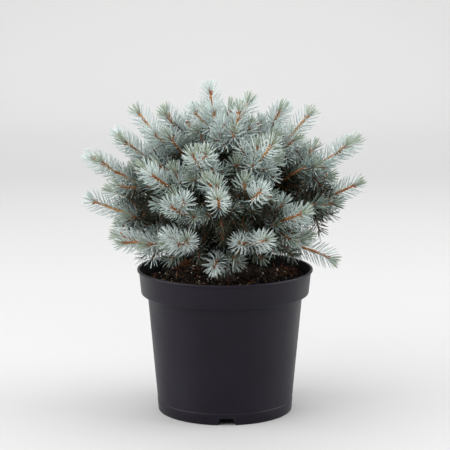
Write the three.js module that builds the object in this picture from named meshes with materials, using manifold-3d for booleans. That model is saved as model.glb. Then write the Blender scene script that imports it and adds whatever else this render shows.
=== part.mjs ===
// A dwarf globe blue spruce in a five-litre nursery pot.
// Millimetres, +Z up, the pot's axis on Z and its foot on z = 0.
//
// The pot is a thin shell with a stepped collar, a foot ring with four drain notches and a raised floor.
// It is filled with compost. A short trunk carries one bough for each mass of foliage, and the masses keep
// to cone-shaped cells that meet in the middle of the crown, so that no two of them touch.

import * as THREE from "three";
import { mergeVertices } from "three/addons/utils/BufferGeometryUtils.js";
import Module from "manifold-3d";

const wasm = await Module();
wasm.setup();

const TURN = 2 * Math.PI;
const DEGREE = Math.PI / 180;

// ---------------------------------------------------------------- driving dimensions

const GAP = 0.3; // between any two solids that meet
const FINEST = 0.02; // slivers thinner than this are smoothed away

const pot = {
  height: 188,
  rimRadius: 114.5,
  bandTopRadius: 112.3, // just under the rolled lip
  bandFootRadius: 109.3,
  bodyTopRadius: 101.3,
  footRadius: 87.9,
  bandHeight: 33.3,
  bandCorner: 2.6, // how far the band's lower corner is cut back
  lip: 3.4, // height of the rolled lip
  wall: 1.8,
  floor: 9.5, // underside of the floor, above the ground
  notches: 4,
  notchHeight: 8.8,
  notchTop: 16,
  notchFoot: 24.5,
  firstNotch: -88.7, // degrees round from +X
  drainRadius: 5,
  drainCircle: 70,
  sides: 32,
};

const soil = {
  level: 171,
  relief: 2.6, // height of its bumps
  rings: 4,
  bump: 17, // distance between bumps
};

const trunk = {
  flare: 13.5, // radius of the root flare
  foot: 8.6,
  tip: 3.1,
  top: 322,
  lean: new THREE.Vector3(-4, 2, 0), // of the tip from the foot
  sides: 8,
  steps: 8,
};

const bough = {
  share: 0.34, // of the way from the trunk to the furthest needle
  lowest: 206, // height on the trunk of the first and last bough
  highest: 308,
  root: 4.1,
  tip: 2.5,
  arch: 0.2,
  sides: 4,
  steps: 2,
};

const needle = {
  length: 17.5,
  angle: 52 * DEGREE, // from the shoot it stands on
  tuft: 0.85, // length of the needles at the tip of a shoot, as a share of the rest
  shortest: 0.45, // share of its length under which it is left out
  pitch: 12, // distance from one ring of needles to the next
  room: 3.4, // kept free between a needle and any other shoot or its needles
  clear: 1.5, // and between a needle and the limbs, the pot or the compost
};

const shoot = {
  sides: 3,
  root: 1.6, // radii where it leaves its parent, past its root and at its tip
  core: 4,
  tip: 3,
  shortest: 17,
  twist: 0.22, // of one face, from each ring to the next
  bare: 9, // length of its root that has no needles
  spread: 52 * DEGREE, // from the shoot it branches off
  forward: 0.28, // how far it bends towards the way its parent goes
  level: 270, // a mass with a lower tip is a flat spray: its side shoots neither rise nor hang
  lone: 215, // and one with a lower tip than this has only its first ring of them
  usual: 95, // length of the leading twig for which the lengths in nodes are meant
};

const cell = {
  centre: new THREE.Vector3(0, 0, 252), // where the cells meet
  gap: 0.5, // each mass stays this far inside its cell
  twigGap: 6,
  potGap: 20, // side shoots stay this far above the rim and the compost
};

// Nodes of the leading twig in each mass, as shares of its length, with the side shoots that leave there:
// how far round the twig each one stands, in degrees from the horizontal, and its length.
const nodes = [
  { at: 0.1, rolls: [15, 165, 268], length: 58 },
  { at: 0.4, rolls: [-12, 88, 192, 275], length: 39 },
];

// The masses of foliage. Each is named for its place, the front being -Y, and reaches a furthest needle tip
// at this many degrees round from +X, this far from the axis and this high above the ground. A limb with a
// droop is that much higher in its middle.
const masses = [
  { name: "leader", turn: 180, reach: 22, height: 434, seed: 11 },
  { name: "top_right", turn: -60, reach: 42, height: 412, seed: 12 },
  { name: "top_left", turn: 166, reach: 84, height: 402, seed: 13 },
  { name: "crown_left", turn: 180, reach: 120, height: 402, seed: 14 },
  { name: "crown_right", turn: 4, reach: 82, height: 405, seed: 15 },
  { name: "high_right", turn: 8, reach: 118, height: 398, seed: 16 },
  { name: "crown_front_right", turn: -55, reach: 112, height: 372, seed: 17 },
  { name: "crown_front_left", turn: -112, reach: 116, height: 360, seed: 18 },
  { name: "crown_back", turn: 92, reach: 96, height: 390, seed: 19 },
  { name: "high_left", turn: 184, reach: 146, height: 372, seed: 20 },
  { name: "side_right", turn: -6, reach: 178, height: 363, seed: 21 },
  { name: "side_left", turn: 190, reach: 184, height: 344, seed: 22 },
  { name: "high_front_left", turn: -133, reach: 146, height: 334, seed: 23 },
  { name: "high_back_left", turn: 132, reach: 158, height: 345, seed: 24 },
  { name: "high_back_right", turn: 46, reach: 158, height: 343, seed: 25 },
  { name: "front_left", turn: -117, reach: 162, height: 298, seed: 26 },
  { name: "front", turn: -93, reach: 176, height: 312, seed: 27 },
  { name: "front_right", turn: -73, reach: 164, height: 320, seed: 28 },
  { name: "side_front_right", turn: -49, reach: 160, height: 285, seed: 29 },
  { name: "back", turn: 91, reach: 176, height: 306, seed: 40 },
  { name: "low_right", turn: 2, reach: 183, height: 303, seed: 31 },
  { name: "low_left", turn: 186, reach: 184, height: 285, seed: 32 },
  { name: "low_back_left", turn: 150, reach: 172, height: 282, seed: 33 },
  { name: "low_back_right", turn: 30, reach: 172, height: 284, seed: 34 },
  { name: "foot_left", turn: 200, reach: 152, height: 230, droop: 10, seed: 47 },
  { name: "foot_right", turn: -8, reach: 150, height: 197, droop: 30, seed: 36 },
  { name: "foot_front_left", turn: -117, reach: 146, height: 246, seed: 37 },
  { name: "foot_front_right", turn: -70, reach: 160, height: 254, seed: 38 },
  { name: "skirt", turn: -98, reach: 112, height: 205, droop: 12, seed: 39 },
];

const paint = (color, roughness) =>
  new THREE.MeshStandardMaterial({ color, roughness, metalness: 0 });
const finish = {
  pot: paint(0x3a3a3f, 0.45),
  soil: paint(0x35271c, 0.95),
  bark: paint(0x6e4a33, 0.85),
  needles: paint(0x9fb8b6, 0.6),
};

// ---------------------------------------------------------------- solids

// A closed three.js geometry as a solid that can be joined and cut.
function solidOf(geometry) {
  const bare = geometry.index ? geometry.toNonIndexed() : geometry.clone();
  bare.deleteAttribute("normal");
  bare.deleteAttribute("uv");
  const merged = mergeVertices(bare, 1e-3);
  const corners = merged.index.array;
  const kept = [];
  for (let i = 0; i < corners.length; i += 3) {
    const [a, b, c] = [corners[i], corners[i + 1], corners[i + 2]];
    if (a !== b && b !== c && c !== a) kept.push(a, b, c);
  }
  const mesh = new wasm.Mesh({
    numProp: 3,
    vertProperties: merged.attributes.position.array,
    triVerts: new Uint32Array(kept),
  });
  return new wasm.Manifold(mesh);
}

// The largest closed shell of a solid, which drops loose scraps and fills any hollow sealed inside it.
function wholeOf(solid) {
  const shells = solid.simplify(FINEST).decompose();
  return shells.reduce((best, one) => (one.volume() > best.volume() ? one : best));
}

function meshOf(name, solid, material) {
  const { vertProperties, triVerts, numProp } = solid.getMesh();
  const position = new Float32Array((vertProperties.length / numProp) * 3);
  for (let i = 0; i < position.length / 3; i++) {
    position.set(vertProperties.subarray(i * numProp, i * numProp + 3), i * 3);
  }
  const geometry = new THREE.BufferGeometry();
  geometry.setAttribute("position", new THREE.BufferAttribute(position, 3));
  geometry.setIndex(new THREE.BufferAttribute(triVerts, 1));
  const mesh = new THREE.Mesh(geometry, material);
  mesh.name = name;
  return mesh;
}

// A profile of [radius, height] pairs spun round Z.
function spun(profile, sides) {
  const points = profile.map(([radius, height]) => new THREE.Vector2(radius, height));
  return new THREE.LatheGeometry(points, sides).rotateX(Math.PI / 2);
}

// ---------------------------------------------------------------- pot and compost

const bandFoot = pot.height - pot.bandHeight;
const bodyRadius = (z) =>
  THREE.MathUtils.mapLinear(z, 0, bandFoot, pot.footRadius, pot.bodyTopRadius);

// The outer wall up the body, out along the level step under the band and up the band, moved in by inset.
function wallProfile(inset, from) {
  const step = bandFoot + inset;
  const bandRadius = pot.bandFootRadius - inset;
  const corner = pot.bandCorner - inset;
  return [
    [bodyRadius(from) - inset, from],
    [pot.bodyTopRadius - inset, step],
    [bandRadius - corner, step],
    [bandRadius, step + corner],
    [pot.bandTopRadius - inset, pot.height - pot.lip],
  ];
}

function makePot() {
  const { height, rimRadius, wall, lip, footRadius, floor } = pot;
  const outside = wallProfile(0, 0);
  const inside = wallProfile(wall, floor + wall).reverse();
  const profile = [
    [0, floor],
    [bodyRadius(floor) - wall, floor],
    [footRadius - wall, 0],
    ...outside,
    [rimRadius, height - lip * 0.75],
    [rimRadius, height - lip * 0.2],
    [rimRadius - lip * 0.2, height],
    [rimRadius - lip * 0.8, height],
    ...inside,
    [0, floor + wall],
  ];
  let solid = solidOf(spun(profile, pot.sides));
  const notch = new THREE.Shape([
    new THREE.Vector2(-pot.notchFoot / 2, -1),
    new THREE.Vector2(pot.notchFoot / 2, -1),
    new THREE.Vector2(pot.notchTop / 2, pot.notchHeight),
    new THREE.Vector2(-pot.notchTop / 2, pot.notchHeight),
  ]);
  for (let i = 0; i < pot.notches; i++) {
    const turn = pot.firstNotch * DEGREE + (i / pot.notches) * TURN;
    const cut = new THREE.ExtrudeGeometry(notch, { depth: 12, bevelEnabled: false });
    cut.rotateX(Math.PI / 2).rotateZ(Math.PI / 2); // its depth now runs along +X
    cut.translate(footRadius - 8, 0, 0).rotateZ(turn);
    const drain = new THREE.CylinderGeometry(pot.drainRadius, pot.drainRadius, 6, 8);
    drain.rotateX(Math.PI / 2).translate(pot.drainCircle, 0, floor + wall / 2).rotateZ(turn);
    solid = solid.subtract(solidOf(cut)).subtract(solidOf(drain));
  }
  return meshOf("pot", solid, finish.pot);
}

// Height of the compost's bumps at a place, which die out at the wall and round the trunk.
function soilBump(x, y) {
  const wave = Math.sin(x / soil.bump + 0.7) * Math.cos(y / soil.bump - 0.4)
    + 0.6 * Math.sin((x + 2 * y) / (1.7 * soil.bump));
  const away = Math.hypot(x, y);
  const nearTrunk = THREE.MathUtils.smoothstep(away, trunk.flare + 2, trunk.flare + 22);
  return soil.relief * wave * nearTrunk;
}

function makeSoil() {
  const inner = pot.wall + GAP;
  const top = wallProfile(inner, pot.floor + pot.wall + GAP);
  const last = top.pop();
  const before = top.at(-1);
  const shore = soil.level - 2;
  const edge = THREE.MathUtils.mapLinear(shore, before[1], last[1], before[0], last[0]);
  const profile = [[0, pot.floor + pot.wall + GAP], ...top, [edge, shore]];
  for (let i = 1; i <= soil.rings; i++) {
    const radius = THREE.MathUtils.lerp(edge - 3, trunk.flare + 1.5, (i - 1) / (soil.rings - 1));
    profile.push([radius, soil.level]);
  }
  profile.push([0, soil.level]);
  const geometry = spun(profile, pot.sides);
  const place = geometry.attributes.position;
  for (let i = 0; i < place.count; i++) {
    if (place.getZ(i) > soil.level - 0.01) {
      place.setZ(i, soil.level + soilBump(place.getX(i), place.getY(i)));
    }
  }
  return meshOf("soil", solidOf(geometry), finish.soil);
}

// ---------------------------------------------------------------- limbs

// The way a curve goes at a share of its length, with a level direction across it and one that lifts.
function frameAt(curve, along) {
  const ahead = curve.getTangent(along);
  const chord = curve.v2.clone().sub(curve.v0).normalize();
  const upright = Math.abs(chord.z) > 0.92;
  const reference = upright ? new THREE.Vector3(1, 0, 0) : new THREE.Vector3(0, 0, 1);
  const side = ahead.clone().cross(reference).normalize();
  return { ahead, side, lift: side.clone().cross(ahead) };
}

// A closed tapering limb along a curve.
function limb(curve, radiusAt, sides, steps) {
  const geometry = new THREE.CylinderGeometry(1, 1, 1, sides, steps);
  const place = geometry.attributes.position;
  for (let i = 0; i < place.count; i++) {
    const along = place.getY(i) + 0.5;
    const { side, lift } = frameAt(curve, along);
    const radius = radiusAt(along);
    const point = curve.getPoint(along)
      .addScaledVector(side, place.getX(i) * radius)
      .addScaledVector(lift, place.getZ(i) * radius);
    place.setXYZ(i, point.x, point.y, point.z);
  }
  return geometry;
}

// How far a curve's point moves for a whole share of its length.
function slopeAt(curve, along) {
  return curve.v1.clone().sub(curve.v0).multiplyScalar(2 * (1 - along))
    .addScaledVector(curve.v2.clone().sub(curve.v1), 2 * along);
}

// The stretch of a curve between two shares of its length.
function stretch(curve, from, to) {
  const start = curve.getPoint(from);
  const end = curve.getPoint(to);
  const slope = slopeAt(curve, from);
  const middle = start.clone().addScaledVector(slope, (to - from) / 2);
  return new THREE.QuadraticBezierCurve3(start, middle, end);
}

const trunkFoot = new THREE.Vector3(0, 0, soil.level + GAP);
const trunkTip = trunk.lean.clone().setZ(trunk.top);
const trunkCurve = new THREE.QuadraticBezierCurve3(
  trunkFoot,
  new THREE.Vector3(trunk.lean.x * 0.1, trunk.lean.y * 0.1, (trunkFoot.z + trunk.top) / 2),
  trunkTip,
);
function trunkRadius(along) {
  const flared = (trunk.flare - trunk.foot) * Math.exp(-along * 14);
  return THREE.MathUtils.lerp(trunk.foot, trunk.tip, along) + flared;
}

function trunkLimb(growth) {
  return limb(trunkCurve, (along) => trunkRadius(along) + growth, trunk.sides, trunk.steps);
}

// ---------------------------------------------------------------- where each mass grows

// A limb runs from the trunk to the furthest needle: its first part is the bough, the rest leads the mass.
function placeMasses() {
  const steepness = (mass) => Math.atan2(mass.height - cell.centre.z, mass.reach);
  const order = masses.slice(1).sort((a, b) => steepness(a) - steepness(b));
  for (const mass of masses) {
    const turn = mass.turn * DEGREE;
    mass.point = new THREE.Vector3(
      mass.reach * Math.cos(turn),
      mass.reach * Math.sin(turn),
      mass.height,
    );
    mass.toward = mass.point.clone().sub(cell.centre).normalize();
    const rank = order.indexOf(mass) / (order.length - 1);
    const height = THREE.MathUtils.lerp(bough.lowest, bough.highest, Math.max(rank, 0));
    const along = (height - trunkFoot.z) / (trunk.top - trunkFoot.z);
    mass.root = mass.name === "leader" ? trunkTip : trunkCurve.getPoint(along);
    const rise = mass.point.z - mass.root.z;
    const middle = mass.root.clone().lerp(mass.point, 0.5);
    if (mass.name !== "leader") middle.z += (mass.droop ?? 0) - bough.arch * rise;
    const ahead = mass.point.clone().sub(middle).normalize();
    const bud = mass.point.clone().addScaledVector(ahead, -needle.length * needle.tuft);
    mass.limb = new THREE.QuadraticBezierCurve3(mass.root, middle, bud);
    mass.entry = mass.name === "leader" ? 0 : bough.share;
  }
}

function boughRadius(along) {
  return THREE.MathUtils.lerp(bough.root, bough.tip, along);
}

// Each bough is cut clear of the trunk and of the boughs already made, which crowd together at their roots.
function makeBoughs() {
  let taken = solidOf(trunkLimb(GAP));
  return masses.filter((mass) => mass.name !== "leader").map((mass) => {
    mass.bough = stretch(mass.limb, 0, mass.entry);
    const grown = (growth) => {
      const radiusAt = (along) => boughRadius(along) + growth;
      return solidOf(limb(mass.bough, radiusAt, bough.sides, bough.steps));
    };
    const solid = wholeOf(grown(0).subtract(taken));
    taken = taken.add(grown(GAP));
    return meshOf("bough_" + mass.name, solid, finish.bark);
  });
}

// Numbers from 0 to 1 that come out the same for the same seed.
function randomFrom(seed) {
  let state = seed * 7919 + 101;
  return () => {
    state = (state * 1664525 + 1013904223) % 4294967296;
    return state / 4294967296;
  };
}

// How far a point lies inside the cell of a mass, which is a cone from the middle of the crown.
function depthInCell(mass, point) {
  const from = point.clone().sub(cell.centre);
  let depth = Infinity;
  for (const other of masses) {
    if (other === mass) continue;
    const across = mass.toward.clone().sub(other.toward).normalize();
    depth = Math.min(depth, from.dot(across));
  }
  return depth;
}

// Distance from a point to the nearest bough or the trunk, measured from its bark.
function awayFromLimbs(point) {
  let away = Infinity;
  const steps = 12;
  for (let i = 0; i <= steps; i++) {
    const along = i / steps;
    away = Math.min(away, point.distanceTo(trunkCurve.getPoint(along)) - trunkRadius(along));
    for (const mass of masses) {
      if (!mass.bough) continue;
      away = Math.min(away, point.distanceTo(mass.bough.getPoint(along)) - boughRadius(along));
    }
  }
  return away;
}

// Is a point clear of the pot and the compost?
function clearOfPot(point, room) {
  const away = Math.hypot(point.x, point.y);
  const overSoil = point.z > soil.level + soil.relief * 1.6 + room;
  const overRim = point.z > pot.height + room;
  return overRim || (overSoil && away < pot.bandFootRadius - pot.wall - room);
}

// ---------------------------------------------------------------- twigs

// A shoot that leaves its parent at a point, bends forward and is shortened until it fits the cell.
function sideShoot(mass, parent, along, roll, spread, length) {
  const { ahead, side, lift } = frameAt(parent, along);
  const start = parent.getPoint(along);
  const across = side.multiplyScalar(Math.cos(roll)).addScaledVector(lift, Math.sin(roll));
  const leave = ahead.clone().multiplyScalar(Math.cos(spread)).addScaledVector(across, Math.sin(spread));
  for (let size = length; size >= shoot.shortest; size *= 0.84) {
    const middle = start.clone().addScaledVector(leave, size * 0.5);
    const end = start.clone()
      .addScaledVector(leave, size * (1 - shoot.forward))
      .addScaledVector(ahead, size * shoot.forward);
    const curve = new THREE.QuadraticBezierCurve3(start, middle, end);
    const fits = [0.6, 1].every((share) => {
      const point = curve.getPoint(share);
      return depthInCell(mass, point) > cell.twigGap
        && awayFromLimbs(point) > cell.twigGap
        && clearOfPot(point, cell.potGap);
    });
    if (fits) return curve;
  }
  return null;
}

// The leading twig in two lengths, and the side shoots of its nodes.
function growMass(mass) {
  const random = randomFrom(mass.seed);
  const from = mass.entry + GAP / slopeAt(mass.limb, mass.entry).length();
  const lead = stretch(mass.limb, from, 1);
  const scale = Math.min(1.1, lead.getLength() / shoot.usual);
  const turned = random() * 30 - 15;
  const sides = [];
  for (const node of mass.height < shoot.lone ? nodes.slice(0, 1) : nodes) {
    for (const roll of node.rolls) {
      const at = node.at + 0.06 * (random() - 0.5);
      const aside = (roll + turned + 24 * (random() - 0.5)) * DEGREE;
      const spread = shoot.spread * (0.88 + 0.24 * random());
      const length = node.length * scale * (0.85 + 0.3 * random());
      const leftOut = mass.height < shoot.level && Math.abs(Math.sin(aside)) > 0.5;
      const curve = leftOut ? null : sideShoot(mass, lead, at, aside, spread, length);
      if (curve) sides.push(curve);
    }
  }
  return { lead, sides };
}

// ---------------------------------------------------------------- needles

// Shortest distance between two straight lines of needle, each given by its two ends.
function between(one, other) {
  let nearest = Infinity;
  for (let i = 0; i <= 4; i++) {
    const point = one.start.clone().lerp(one.end, i / 4);
    const closest = new THREE.Vector3();
    other.closestPointToPoint(point, true, closest);
    nearest = Math.min(nearest, closest.distanceTo(point));
  }
  return nearest;
}

// The straight lines that follow a twig, from one share of its length to its tip.
function linesAlong(curve, from) {
  const steps = 6;
  return Array.from({ length: steps }, (_, i) => new THREE.Line3(
    curve.getPoint(THREE.MathUtils.lerp(from, 1, i / steps)),
    curve.getPoint(THREE.MathUtils.lerp(from, 1, (i + 1) / steps)),
  ));
}

// A slim core with a pointed needle raised on each of its faces, and a tuft of them at its tip.
// Needles keep clear of everything in taken, and are added to it.
function bristled(mass, curve, root, bare, taken) {
  const length = curve.getLength();
  const rows = Math.max(2, Math.round(length / needle.pitch));
  const { sides } = shoot;
  const points = [];
  const faces = [];
  const frames = [];
  for (let row = 0; row <= rows; row++) {
    const along = row / rows;
    const frame = frameAt(curve, along);
    const radius = row === 0 ? root : THREE.MathUtils.lerp(shoot.core, shoot.tip, along);
    frames.push(frame);
    for (let i = 0; i < sides; i++) {
      const turn = ((i + row * shoot.twist) / sides) * TURN;
      points.push(curve.getPoint(along)
        .addScaledVector(frame.side, radius * Math.cos(turn))
        .addScaledVector(frame.lift, radius * Math.sin(turn)));
    }
  }
  const fits = (point) => depthInCell(mass, point) > cell.gap
    && awayFromLimbs(point) > needle.clear && clearOfPot(point, needle.clear);
  const added = [];
  // The end of a needle that is as long as the room there lets it be, or null.
  const raised = (foot, way, size) => {
    for (let share = 1; share >= needle.shortest; share -= 0.12) {
      const end = foot.clone().addScaledVector(way, size * share);
      const line = new THREE.Line3(foot, end);
      const free = fits(end) && fits(line.at(0.5, new THREE.Vector3()))
        && taken.every((other) => between(line, other) > needle.room);
      if (!free) continue;
      added.push(line);
      return end;
    }
    return null;
  };
  for (let row = 0; row < rows; row++) {
    for (let i = 0; i < sides; i++) {
      const next = (i + 1) % sides;
      const a = row * sides + i;
      const b = row * sides + next;
      const c = (row + 1) * sides + next;
      const d = (row + 1) * sides + i;
      const foot = points[a].clone().add(points[b]).add(points[c]).add(points[d]).multiplyScalar(0.25);
      const along = (row + 0.5) / rows;
      const { ahead } = frames[row];
      const out = foot.clone().sub(curve.getPoint(along));
      out.addScaledVector(ahead, -out.dot(ahead)).normalize();
      const way = out.multiplyScalar(Math.sin(needle.angle)).addScaledVector(ahead, Math.cos(needle.angle));
      const end = along * length < bare ? null : raised(foot, way, needle.length);
      if (end) {
        const top = points.push(end) - 1;
        faces.push(b, a, top, c, b, top, d, c, top, a, d, top);
      } else {
        faces.push(a, d, b, b, d, c);
      }
    }
  }
  const end = curve.getPoint(1);
  const point = raised(end, frames[rows].ahead, needle.length * needle.tuft) ?? end;
  const foot = points.push(curve.getPoint(0)) - 1;
  const tip = points.push(point) - 1;
  for (let i = 0; i < sides; i++) {
    const next = (i + 1) % sides;
    faces.push(i, next, foot);
    faces.push(rows * sides + next, rows * sides + i, tip);
  }
  taken.push(...added);
  const geometry = new THREE.BufferGeometry().setFromPoints(points);
  geometry.setIndex(faces);
  return geometry;
}

function makeMass(mass) {
  const { lead, sides } = growMass(mass);
  const around = (own) => sides.filter((curve) => curve !== own).flatMap((curve) => linesAlong(curve, 0.1));
  const needles = [];
  const withNeedles = (curve, root, bare, others) => {
    const taken = [...others, ...needles];
    const before = taken.length;
    const geometry = bristled(mass, curve, root, bare, taken);
    needles.push(...taken.slice(before));
    return solidOf(geometry);
  };
  let solid = withNeedles(lead, bough.tip, lead.getLength() * nodes[0].at, around(null));
  for (const curve of sides) {
    const others = [...around(curve), ...linesAlong(lead, 0)];
    solid = solid.add(withNeedles(curve, shoot.root, shoot.bare, others));
  }
  return meshOf("foliage_" + mass.name, wholeOf(solid), finish.needles);
}

// ---------------------------------------------------------------- the whole plant

placeMasses();
const spruce = new THREE.Group();
spruce.add(makePot(), makeSoil());
spruce.add(meshOf("trunk", solidOf(trunkLimb(0)), finish.bark));
spruce.add(...makeBoughs());
spruce.add(...masses.map(makeMass));

export default spruce;
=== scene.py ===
import math

import bmesh
import bpy
import numpy as np
from mathutils import Matrix, Vector, noise


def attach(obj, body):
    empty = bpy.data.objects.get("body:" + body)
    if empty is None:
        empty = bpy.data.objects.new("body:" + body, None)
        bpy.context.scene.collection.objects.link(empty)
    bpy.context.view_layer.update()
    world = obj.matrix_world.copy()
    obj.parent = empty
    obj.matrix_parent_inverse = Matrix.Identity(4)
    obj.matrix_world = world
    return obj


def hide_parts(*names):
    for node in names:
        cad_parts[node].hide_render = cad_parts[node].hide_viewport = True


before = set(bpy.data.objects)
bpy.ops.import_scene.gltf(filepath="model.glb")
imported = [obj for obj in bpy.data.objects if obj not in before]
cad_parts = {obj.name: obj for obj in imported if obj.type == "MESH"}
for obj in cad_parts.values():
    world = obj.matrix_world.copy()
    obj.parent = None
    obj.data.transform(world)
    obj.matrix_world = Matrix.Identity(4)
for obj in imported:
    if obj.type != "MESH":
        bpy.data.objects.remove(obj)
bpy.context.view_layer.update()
print("frame loaded:", len(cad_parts), "nodes")

# A dwarf globe blue spruce in a five-litre nursery pot. Lengths in the dictionaries are in millimetres, and
# turn to metres where a mesh is written.
mm = 0.001
degree = math.pi / 180
fullTurn = 2 * math.pi
weld = 1e-5  # on shapes one unit long, points closer than this are one


def linearColour(code):
    parts = [int(code[i:i + 2], 16) / 255 for i in (1, 3, 5)]
    return [p / 12.92 if p <= 0.04045 else ((p + 0.055) / 1.055) ** 2.4 for p in parts] + [1]


def addNode(material, kind, values=None, links=None, **settings):
    node = material.node_tree.nodes.new(kind)
    for name, value in settings.items():
        setattr(node, name, value)
    for name, value in (values or {}).items():
        node.inputs[name].default_value = value
    for name, source in (links or {}).items():
        material.node_tree.links.new(source, node.inputs[name])
    return node


def startMaterial(name, code, roughness, specular=0.5):
    material = bpy.data.materials.new(name)
    material.use_nodes = True
    shader = material.node_tree.nodes["Principled BSDF"]
    shader.inputs["Base Color"].default_value = linearColour(code)
    shader.inputs["Roughness"].default_value = roughness
    shader.inputs["Specular IOR Level"].default_value = specular
    return material, shader


def placeOf(material):
    return addNode(material, "ShaderNodeTexCoord").outputs["Object"]


# A pattern's scale, for features of that many millimetres on Object coordinates in metres.
def scaleFor(size):
    return 1 / (size * mm)


def link(material, source, target):
    material.node_tree.links.new(source, target)


def colourBy(material, factor, stops):
    ramp = addNode(material, "ShaderNodeValToRGB", links={"Fac": factor})
    while len(ramp.color_ramp.elements) < len(stops):
        ramp.color_ramp.elements.new(0.5)
    for element, (position, code) in zip(ramp.color_ramp.elements, stops):
        element.position = position
        element.color = linearColour(code)
    return ramp.outputs["Color"]


# A finish whose colour goes to a darker one in patches of that many millimetres.
def mottled(name, code, darker, roughness, patch=5, specular=0.35):
    material, shader = startMaterial(name, code, roughness, specular)
    patches = addNode(material, "ShaderNodeTexNoise", {"Scale": scaleFor(patch), "Detail": 2.0},
                      {"Vector": placeOf(material)})
    colour = colourBy(material, patches.outputs["Fac"], [(0.3, darker), (0.62, code)])
    link(material, colour, shader.inputs["Base Color"])
    return material


def addBump(material, shader, height, distance, strength=1.0):
    bump = addNode(material, "ShaderNodeBump", {"Distance": distance * mm, "Strength": strength},
                   {"Height": height})
    link(material, bump.outputs["Normal"], shader.inputs["Normal"])


# A shape that is repeated: its points and its triangles.
def shapeOf(bm):
    bmesh.ops.remove_doubles(bm, verts=bm.verts[:], dist=weld)
    bmesh.ops.triangulate(bm, faces=bm.faces[:])
    bmesh.ops.recalc_face_normals(bm, faces=bm.faces[:])
    bm.verts.index_update()
    points = np.array([v.co[:] for v in bm.verts])
    triangles = np.array([[v.index for v in f.verts] for f in bm.faces])
    bm.free()
    return points, triangles


# A closed rod one long with a radius of one, with rings along it.
def rodShape(sides, rings, tipRadius=1.0):
    bm = bmesh.new()
    bmesh.ops.create_cone(bm, cap_ends=True, segments=sides, radius1=1, radius2=tipRadius, depth=1)
    bmesh.ops.translate(bm, verts=bm.verts, vec=(0, 0, 0.5))
    bmesh.ops.remove_doubles(bm, verts=bm.verts[:], dist=weld)
    lengthwise = [e for e in bm.edges if abs(e.verts[0].co.z - e.verts[1].co.z) > 0.5]
    bmesh.ops.subdivide_edges(bm, edges=lengthwise, cuts=rings)
    return bm


def ballShape(across, along):
    bm = bmesh.new()
    bmesh.ops.create_uvsphere(bm, u_segments=across, v_segments=along, radius=1)
    return bm


def lumpShape(seed, roughness):
    bm = bmesh.new()
    bmesh.ops.create_icosphere(bm, subdivisions=1, radius=1)
    for v in bm.verts:
        v.co *= 1 + roughness * noise.noise(v.co * 1.3 + Vector((seed, 0, 0)))
    return bm


# Writes many points and triangles, in millimetres, as one mesh. Tones are numbers of material slots.
def meshOf(name, points, triangles, tones=None, smooth=True):
    mesh = bpy.data.meshes.new(name)
    points = np.asarray(points, dtype=np.float64) * mm
    triangles = np.asarray(triangles, dtype=np.int32)
    mesh.vertices.add(len(points))
    mesh.vertices.foreach_set("co", points.ravel())
    mesh.loops.add(triangles.size)
    mesh.loops.foreach_set("vertex_index", triangles.ravel())
    mesh.polygons.add(len(triangles))
    mesh.polygons.foreach_set("loop_start", np.arange(len(triangles), dtype=np.int32) * 3)
    mesh.update(calc_edges=True)
    if tones is not None:
        mesh.polygons.foreach_set("material_index", np.asarray(tones, dtype=np.int32))
    mesh.polygons.foreach_set("use_smooth", np.full(len(triangles), smooth))
    mesh.update()
    return mesh


offUpright = [0.13, 0.07, 1.0]  # nearly upright, and no copy points along it


# Copies of a shape. Each stands at a start and points along its way, which bends as it goes.
def copiesOf(shape, start, way, bend, length, width):
    points, triangles = shape
    side = np.cross(way, offUpright)
    side /= np.linalg.norm(side, axis=1, keepdims=True)
    lift = np.cross(way, side)
    z = points[:, 2][None, :, None]
    x = points[:, 0][None, :, None]
    y = points[:, 1][None, :, None]
    long = length[:, None, None]
    wide = width[:, None, None]
    placed = (start[:, None] + z * long * way[:, None] + z * z * long * bend[:, None]
              + wide * (x * side[:, None] + y * lift[:, None]))
    offsets = (np.arange(len(start)) * len(points))[:, None, None]
    return placed.reshape(-1, 3), (triangles[None] + offsets).reshape(-1, 3)


def keepPiece(name, mesh, materials, nodes=()):
    for material in materials:
        mesh.materials.append(material)
    piece = bpy.data.objects.new(name, mesh)
    bpy.context.scene.collection.objects.link(piece)
    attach(piece, "root")
    if nodes:
        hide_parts(*nodes)
    print(name, "-", len(mesh.polygons), "faces")
    return piece


# Finishes a bmesh in millimetres as a piece.
def keepModel(name, bm, materials, nodes=(), sharp=35):
    bmesh.ops.remove_doubles(bm, verts=bm.verts[:], dist=0.005)
    bmesh.ops.recalc_face_normals(bm, faces=bm.faces[:])
    bmesh.ops.scale(bm, vec=(mm, mm, mm), verts=bm.verts)
    for face in bm.faces:
        face.smooth = True
    for edge in bm.edges:
        if len(edge.link_faces) == 2 and edge.calc_face_angle(0) > sharp * degree:
            edge.smooth = False
    mesh = bpy.data.meshes.new(name)
    bm.to_mesh(mesh)
    bm.free()
    return keepPiece(name, mesh, materials, nodes)


pot = {
    "height": 188, "rimRadius": 114.5, "bandTopRadius": 112.3, "bandFootRadius": 109.3,
    "bodyTopRadius": 101.3, "footRadius": 87.9, "bandHeight": 33.3, "bandCorner": 2.4,
    "lip": 3.4, "wall": 1.8, "floor": 9.5,
    "notches": 4, "firstNotch": -88.7, "notchHeight": 8.8, "notchTop": 16, "notchFoot": 24.5,
    "notchFlare": 1.6, "notchReach": 12, "cutBelow": 2,
    "drainRadius": 5, "drainCircle": 70, "drainCut": 8,
    "partingHeight": 14.6, "partingStep": 0.5, "paintedShadeFoot": 160, "paintedShadeTop": 186, "steps": 180,
}
bandFoot = pot["height"] - pot["bandHeight"]


def bodyRadius(z):
    return pot["footRadius"] + (pot["bodyTopRadius"] - pot["footRadius"]) * z / bandFoot


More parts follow.
